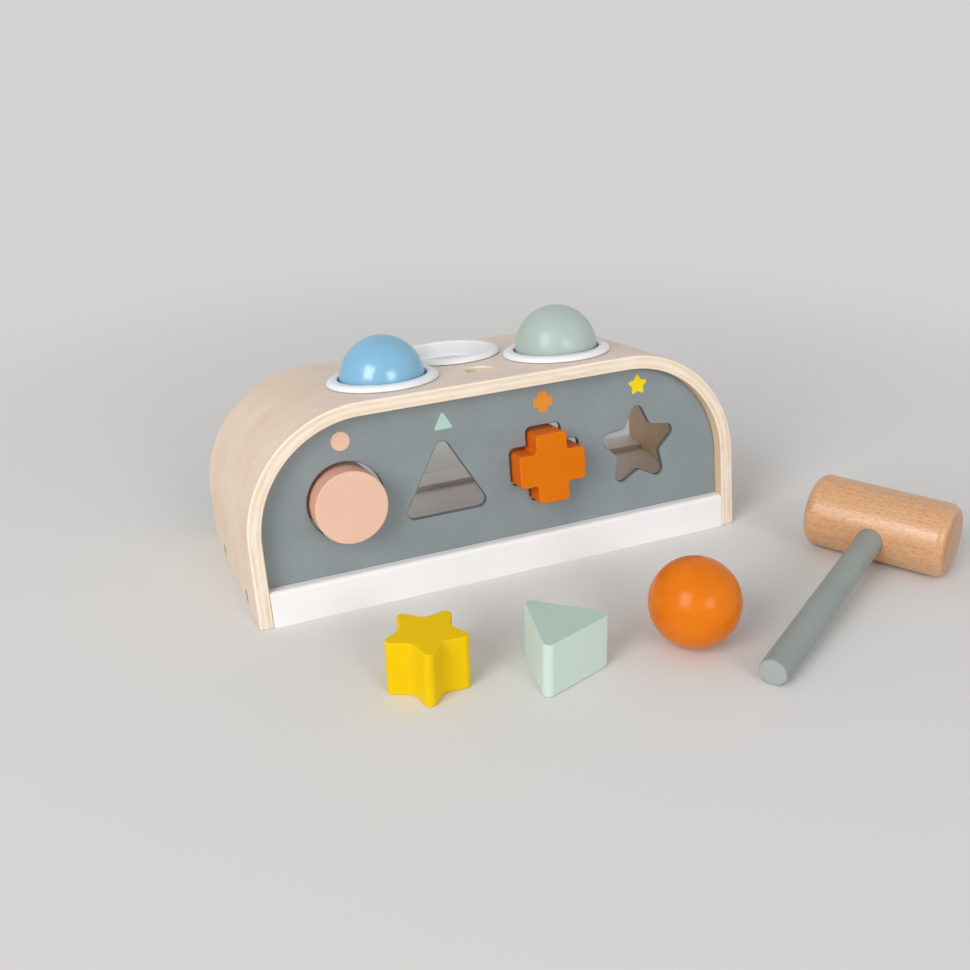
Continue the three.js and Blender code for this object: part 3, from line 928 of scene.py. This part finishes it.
def cutHammerHole(piece):
    spare = hammerHole["boreSpare"]
    widest = hammerHole["radius"] + hammerHole["rimRound"]
    rim = roundEdge(hammerHole["rimRound"], hammerHole["rimSteps"])
    rim = [(hammerHole["radius"] + out, -down) for out, down in rim]
    profile = [(0, spare), (widest, spare)] + rim[::-1] + [(out, -thick - down) for out, down in rim]
    profile += [(widest, -thick - spare), (0, -thick - spare)]
    cutTurned(piece, onTop(0, hammerHole["fromFront"]), profile, "hammerBore")


def archShell():
    section = stripSection()
    shape = bmesh.new()
    rings = []
    for (x, z), way in archStations()[1:-1]:
        spots = [(x - way[0] * down, across, z - way[1] * down) for across, down in section]
        rings.append([shape.verts.new(spot) for spot in spots])
    rings = footRings(shape, section, -1) + rings + footRings(shape, section, 1)[::-1]
    for near, far in zip(rings, rings[1:]):
        bridge(shape, near, far)
    feet = [shape.faces.new(rings[0]), shape.faces.new(rings[-1])]
    bmesh.ops.recalc_face_normals(shape, faces=shape.faces)
    piece = finishMesh("archShell", shape, leaningPlace, feet)
    cutCollarBores(piece)
    cutHammerHole(piece)
    for side, y in screwSpots.values():
        cutTurned(piece, screwPlace(side, y), screwBore(), "screwBore")
    mesh = piece.data
    places = mesh.attributes.new("plyPlace", "FLOAT_VECTOR", "POINT")
    for vertex, place in zip(mesh.vertices, places.data):
        place.vector = plyPlace(vertex.co / mm)
    return evenShading(piece)


def screwPlace(side, y):
    # z of the turned screw points out of the wood
    place = levelPlace @ moved(side * (halfWidth - screw["sunk"]), y, screw["height"])
    return place @ turned(side * pi / 2, "Y")


def screwBore():
    s = screw
    shank, head = s["shankRadius"] + seatGap, s["headRadius"] + seatGap
    depth, length = s["headDepth"], s["length"] + seatGap
    profile = [(0, -length), (shank, s["tip"] - length), (shank, -depth - seatGap)]
    return profile + [(head, -seatGap - s["boreStep"]), (head, s["boreSpare"]), (0, s["boreSpare"])]


fitPiece(archShell(), "case", "birchPlywood", "birch_plywood", "arch_shell")
print("stage: arch")

# Panel, kerb, base board and lip

panel = {
    "recess": 6.6, "thickness": 3.2, "nearRound": 0.5, "farRound": 0.3, "roundSteps": 5,
    "footHeight": 20,  # everything below this is its foot, on the board
}
board = {
    "thickness": 11, "nearRound": 0.5, "farRound": 0.2, "roundSteps": 4,
    "pocketDepth": 5, "pocketRound": 0.6,
}
kerb = {"height": 19, "edgeRound": 2.2, "roundSteps": 10}
stopLip = {"width": 15.5, "thickness": 3, "edgeRound": 0.8, "roundSteps": 6}
sideInset = thick + jointGap
innerWidth = arch["width"] - 2 * sideInset
bars = {"thickness": innerWidth, "nearRound": 0.3, "farRound": 0.3, "roundSteps": 3}


def panelOutline():
    # anticlockwise seen from the front, from the right foot over the top
    stations = reversed(archStations())
    return [Vector((x - way[0] * sideInset, z - way[1] * sideInset)) for (x, z), way in stations]


def standOnBoard(co):
    if co.z < panel["footHeight"]:
        co.z += (board["thickness"] + seatGap + co.y * sin(leanAngle)) / cos(leanAngle)


def frontPanel():
    holes = [shifted(outlines[name](size), size["x"], size["z"]) for name, size in shapeHoles.items()]
    levels = slabLevels(panel, panel["recess"])
    return slab("frontPanel", leaningPlace, panelOutline(), levels, "front", holes, slant=standOnBoard)


def bar(name, place, profile):
    # a strip across the inside of the arch
    return slab(name, place, profile, slabLevels(bars, -innerWidth / 2), "side")


def frontKerb():
    back, top, r = panel["recess"] - seatGap, kerb["height"], kerb["edgeRound"]
    profile = points((0, 0), (back, back * tan(leanAngle)), (back, top))
    profile += circle((r, top - r), r, pi / 2, pi, kerb["roundSteps"])
    return bar("frontKerb", leaningPlace, profile)


def rearLip():
    bottom = board["thickness"] + jointGap
    top = bottom + stopLip["thickness"]
    lowerBack, upperBack = [leaningDepth(arch["depth"], level) for level in (bottom, top)]
    front, r = lowerBack - stopLip["width"], stopLip["edgeRound"]
    profile = points((front, bottom), (lowerBack, bottom), (upperBack, top))
    profile += circle((front + r, top - r), r, pi / 2, pi, stopLip["roundSteps"])
    return bar("rearLip", levelPlace, profile)


def pocketLoop(name, inset=0):
    # mirrored: read from below with the front edge upward, the order is as on the panel
    size = shapeHoles[name]
    loop = [Vector((-p.x, -p.y)) for p in outlines[name](size, inset)]
    return shifted(loop, -size["x"], footDepth / 2)


def leanBack(co):
    co.y += co.z * tan(leanAngle)


def baseBoard():
    front, back = leaningDepth(panel["recess"], 0), leaningDepth(arch["depth"], 0)
    half = innerWidth / 2
    outline = points((-half, front), (half, front), (half, back), (-half, back))
    pockets = [pocketLoop(name) for name in shapeHoles]
    levels = roundEdge(board["pocketRound"], board["roundSteps"]) + [(board["pocketDepth"], 0)]
    return slab("baseBoard", levelPlace, outline, slabLevels(board), "up", pockets, levels, leanBack)


fitPiece(frontPanel(), "case", "greyPaint", "blue_grey_paint", "front_panel")
fitPiece(frontKerb(), "case", "whitePaint", "white_paint", "front_kerb")
fitPiece(rearLip(), "case", "whitePaint", "white_paint", "rear_lip")
fitPiece(baseBoard(), "case", "whitePaint", "white_paint", "base_board")
print("stage: panel, kerb, board and lip")

# Painted floors of the pockets, and small printed shapes over the holes

pocketPaint = {"thickness": 0.15, "inset": 0.05, "edge": 0.05, "sunk": 0.1, "spare": 0.15}
printPaint = {"thickness": 0.14, "inset": 0.06, "edge": 0.05, "sunk": 0.3}
prints = {
    "round": {"x": -85.2, "z": 88.1, "radius": 4.9},
    "triangle": {"x": -30.5, "z": 88, "cornerReach": 4.85, "cornerRadius": 0.75},
    "cross": {
        "x": 26.2, "z": 89.95, "span": 11.1, "armWidth": 5.5, "tipRadius": 1.2, "innerRadius": 0.3,
    },
    "star": {"x": 83.4, "z": 90, "tipReach": 4.6, "tipRadius": 1, "notchRadius": 3.5, "notchEase": 0.4},
}


def paintOn(name, shape, place, loop, face, paint, facing):
    # a layer of paint on a face, with a rim that is a little smaller on top
    levels = [(face - paint["thickness"], paint["inset"]), (face - paint["edge"], 0)]
    levels.append((face + paint["sunk"], 0))
    colour = shapeColours[shape]
    piece = slab(shape + name, place, loop, levels, facing)
    fitPiece(piece, "case", colour + "Print", colour + "_block_paint")


for name in shapeHoles:
    loop = pocketLoop(name, pocketPaint["spare"])
    paintOn("PocketPaint", name, levelPlace, loop, board["pocketDepth"], pocketPaint, "up")
for name, size in prints.items():
    loop = shifted(outlines[name](size), size["x"], size["z"])
    paintOn("Print", name, leaningPlace, loop, panel["recess"], printPaint, "front")
print("stage: printed shapes")

# Collars and balls


def bend(centre, wide, high, start, end, count):
    # a quarter of an ellipse in a turned profile
    x, y = centre
    return [(x + wide * p.x, y + high * p.y) for p in circle((0, 0), 1, start, end, count)]


def collarProfile(lipDrop):
    c = collar
    top, sleeve, throat, lip = c["flangeHeight"], c["sleeveRadius"], c["throatRadius"], c["lipRadius"]
    lipBottom, bottom, small = -lipDrop - c["lipThickness"], -c["drop"], c["smallRound"]
    wide, high = c["rimRound"]
    profile = [(sleeve, bottom + small), (sleeve, seatGap), (c["flangeRadius"] - small, seatGap)]
    profile += bend((c["flangeRadius"] - wide, top - high), wide, high, 0, pi / 2, c["rimSteps"])
    wide, high = c["mouthRound"]
    profile += bend((c["mouthRadius"] + wide, top - high), wide, high, pi / 2, pi, c["rimSteps"])
    upper, lower = c["throatShares"]
    profile += [(throat + small / 2, -lipDrop * upper), (throat, -lipDrop * lower)]
    wide, high = c["lipRound"]
    profile += bend((throat - wide, wide - lipDrop), wide, high, 0, -pi / 2, c["lipSteps"])
    edge = -lipDrop - small + c["lipEdge"]
    profile += bend((lip + small, edge), small, small, pi / 2, pi, c["smallSteps"])
    profile += bend((lip + small, lipBottom + small), small, small, pi, 1.5 * pi, c["smallSteps"])
    return profile + [(throat, lipBottom), (throat, bottom), (sleeve - small, bottom)]


for name, (x, y) in collarSpots.items():
    shape = turnedShape(collarProfile(collar["lipDrops"][name]), "collar")
    piece = evenShading(finishMesh(name + "Collar", shape, onTop(x, y), sharp="collar"))
    fitPiece(piece, "case", "whitePlastic", "white_plastic", "ball_collar_" + name)

balls = {"radius": 22.5, "unevenness": 0.05, "unevenWidth": 9, "fineness": 6}
orangeBallSpot = (51.8, -96.8)


def makeBall(name, place, seed):
    # turned and sanded: not quite a true ball
    shape = bmesh.new()
    radius = balls["radius"] - balls["unevenness"]
    bmesh.ops.create_icosphere(shape, subdivisions=balls["fineness"], radius=radius)
    for vertex in shape.verts:
        way = vertex.co.normalized()
        swell = noise.noise(vertex.co / balls["unevenWidth"] + Vector((seed, seed, seed)))
        vertex.co += way * swell * balls["unevenness"]
    return finishMesh(name, shape, place, sharp="ball")


def seatedBallPlace(side):
    rise = sqrt((balls["radius"] + seatGap) ** 2 - collar["lipRadius"] ** 2)
    return onTop(*collarSpots[side], rise - collar["lipDrops"][side])


ballPlaces = {  # place, and seed of its unevenness
    "blue": (seatedBallPlace("left"), 3),
    "sage": (seatedBallPlace("right"), 17),
    "orange": (levelPlace @ moved(*orangeBallSpot, balls["radius"]), 31),
}
for name, (place, seed) in ballPlaces.items():
    piece = makeBall(name + "Ball", place, seed)
    fitPiece(piece, name + "_ball", name + "BallPaint", name + "_ball_paint", name + "_ball")
print("stage: collars and balls")

# Blocks

blocks = {
    "clearance": 1.3, "thickness": 28, "nearRound": 0.7, "farRound": 0.7, "roundSteps": 5,
    "standOut": 10.5,
}
blockTips = {  # rounder than the corners of the holes
    "star": {"tipReach": 17, "tipRadius": 4.3, "notchEase": 3.6},
    "triangle": {"cornerReach": 19.3, "cornerRadius": 4.7},
}
looseSpots = {  # place and turn
    "star": ((-77.1, -75.1), 19.6),
    "triangle": ((-17.3, -91.9), 18.7),
}


def block(name, place, size, facing):
    loop = outlines[name](size, blocks["clearance"])
    return slab(name + "Block", place, loop, slabLevels(blocks), facing, sawn="block")


def seatedBlock(name):
    size = shapeHoles[name]
    drop = blocks["clearance"] - seatGap
    front = panel["recess"] - blocks["standOut"]
    return block(name, leaningPlace @ moved(size["x"], front, size["z"] - drop), size, "front")


def looseBlock(name):
    spot, turn = looseSpots[name]
    place = levelPlace @ moved(*spot) @ turned(radians(turn), "Z")
    return block(name, place, shapeHoles[name] | blockTips[name], "up")


for make, names in ((seatedBlock, ("round", "cross")), (looseBlock, ("triangle", "star"))):
    for name in names:
        node, colour = name + "_block", shapeColours[name]
        fitPiece(make(name), node, colour + "BlockPaint", colour + "_block_paint", node)
print("stage: blocks")

# Hammer

hammer = {
    "headRadius": 19.9, "headLength": 77, "headRound": 6, "headSteps": 12,
    "crown": 0.5,  # the end faces are slightly domed
    "crownRings": (10, 6, 3), "handleRadius": 7, "handleReach": 145.34, "handleSocket": 11,
    "handleRound": 0.9, "handleSteps": 6, "handleRings": 24,
    "waveStretch": (0.02, 0.02, 0.03),  # the handle is a little uneven, but for its end
    "waveShare": 0.006, "evenEnd": 4, "glueGap": 0.15, "spot": (188, -66.5), "turn": -58.1,
}


def hammerPlace():
    h = hammer
    reach, radius = h["handleReach"], h["handleRadius"]
    slope = asin(h["headRadius"] / hypot(reach, radius)) - atan2(radius, reach)
    place = levelPlace @ moved(*h["spot"], h["headRadius"])
    return place @ turned(radians(h["turn"]), "Z") @ turned(slope, "X")


def lieAlong(shape, axis):
    # turns the top of an upright shape: round y to lie along x, or round x towards -y
    bmesh.ops.transform(shape, matrix=turned(pi / 2, axis), verts=shape.verts)
    return shape


def hammerHead():
    h = hammer
    half, r, flat = h["headLength"] / 2, h["headRound"], h["headRadius"] - h["headRound"]
    end = circle((flat, half - r - h["crown"]), r, 0, pi / 2, h["headSteps"])
    crown = [(x, half - h["crown"] * (x / flat) ** 2) for x in h["crownRings"]]
    upper = [(p.x, p.y) for p in end] + crown + [(0, half)]
    profile = [(x, -z) for x, z in upper[::-1]] + upper
    shape = lieAlong(turnedShape(profile, "hammerHead"), "Y")
    head = finishMesh("hammerHead", shape, hammerPlace())
    hole, bottom = h["handleRadius"] + h["glueGap"], -h["handleSocket"] - seatGap
    out = 2 * h["headRadius"]
    cutter = turnedShape([(0, bottom), (hole, bottom), (hole, out), (0, out)], "handle")
    cutAway(head, finishMesh("socket", lieAlong(cutter, "X"), hammerPlace()))
    markEnds(head, (1, 0, 0))
    return evenShading(head)


def hammerHandle():
    h = hammer
    r, reach, radius, socket = h["handleRound"], h["handleReach"], h["handleRadius"], h["handleSocket"]
    count = h["handleRings"]
    profile = [(0, -socket), (radius, -socket)]
    profile += [(radius, -socket + i * (reach + socket - r) / count) for i in range(1, count)]
    profile += [(p.x, p.y) for p in circle((radius - r, reach - r), r, 0, pi / 2, h["handleSteps"])]
    profile.append((0, reach))
    shape = turnedShape(profile, "handle")
    for vertex in shape.verts:
        if vertex.co.z < reach - h["evenEnd"]:
            wave = noise.noise(Vector([c * s for c, s in zip(vertex.co, h["waveStretch"])]))
            thinner = 1 - h["waveShare"] * abs(wave)
            vertex.co.x *= thinner
            vertex.co.y *= thinner
    handle = finishMesh("hammerHandle", lieAlong(shape, "X"), hammerPlace())
    markEnds(handle, (0, 1, 0))
    return evenShading(handle)


fitPiece(hammerHead(), "hammer", "beechWood", "beech", "hammer_head")
fitPiece(hammerHandle(), "hammer", "handlePaint", "grey_handle_paint", "hammer_handle")
print("stage: hammer")

# Screws


def screwProfile():
    s = screw
    shank, root = s["shankRadius"], s["shankRadius"] - s["threadDepth"]
    share, height = s["tipEnd"]
    profile = [(0, -s["length"]), (shank * share, height - s["length"])]
    level = s["tip"] - s["length"]
    while level < -s["headDepth"] - s["threadStep"]:
        profile += [(root, level), (shank, level + s["threadStep"] / 2)]
        level += s["threadStep"]
    profile += [(root, level), (shank, -s["headDepth"])]
    return profile + [(s["headRadius"] + out, height) for out, height in s["headRim"]] + [(0, 0)]


def makeScrew(name, side, y):
    s = screw
    piece = finishMesh(name, turnedShape(screwProfile(), "screw"), screwPlace(side, y))
    width, reach = s["crossWidth"] / 2, s["crossReach"]
    slot = points((-reach, -width), (reach, -width), (reach, width), (-reach, width))
    for turn in (0, pi / 2):
        place = screwPlace(side, y) @ turned(turn + s["crossTurn"], "Z")
        cutter = slab("cross", place, slot, s["crossLevels"], "up")
        cutter.modifiers.clear()
        cutAway(piece, cutter)
    return evenShading(piece)


for name, (side, y) in screwSpots.items():
    fitPiece(makeScrew(name + "_head", side, y), "case", "screwSteel", "screw_steel", "base_" + name)
print("stage: screws")

# Floor of the studio


def makeFloor():
    shape = bmesh.new()
    sides, radius = studio["floorSides"], studio["floorRadius"]
    bmesh.ops.create_circle(shape, cap_ends=True, segments=sides, radius=radius)
    floor = finishMesh("floor", shape, moved(0, 0, -studio["floorDrop"]), shape.faces)
    made, shader = newMaterial("floorPaper")
    feed(shader, {"Base Color": tone(studio["floorTone"]), "Roughness": studio["floorGloss"]})
    away = distance(addNode("TexCoord", {}).outputs["Object"])
    fade = smoothShare(away, *[reach * mm for reach in studio["floorFade"]])
    plain = addNode("Emission", {"Color": tone(studio["backgroundTone"]), "Strength": 1})
    mix = addNode("MixShader", {
        0: calc("MULTIPLY", fade, seenDirectly()),
        1: shader.outputs[0],
        2: plain.outputs[0],
    })
    feed(trees[-1].nodes["Material Output"], {"Surface": mix.outputs[0]})
    floor.data.materials.append(made)


makeCamera()
makeWindows()
makeSky()
makeFloor()
bpy.context.scene.view_settings.view_transform = "Standard"
print("stage: camera, floor and light")
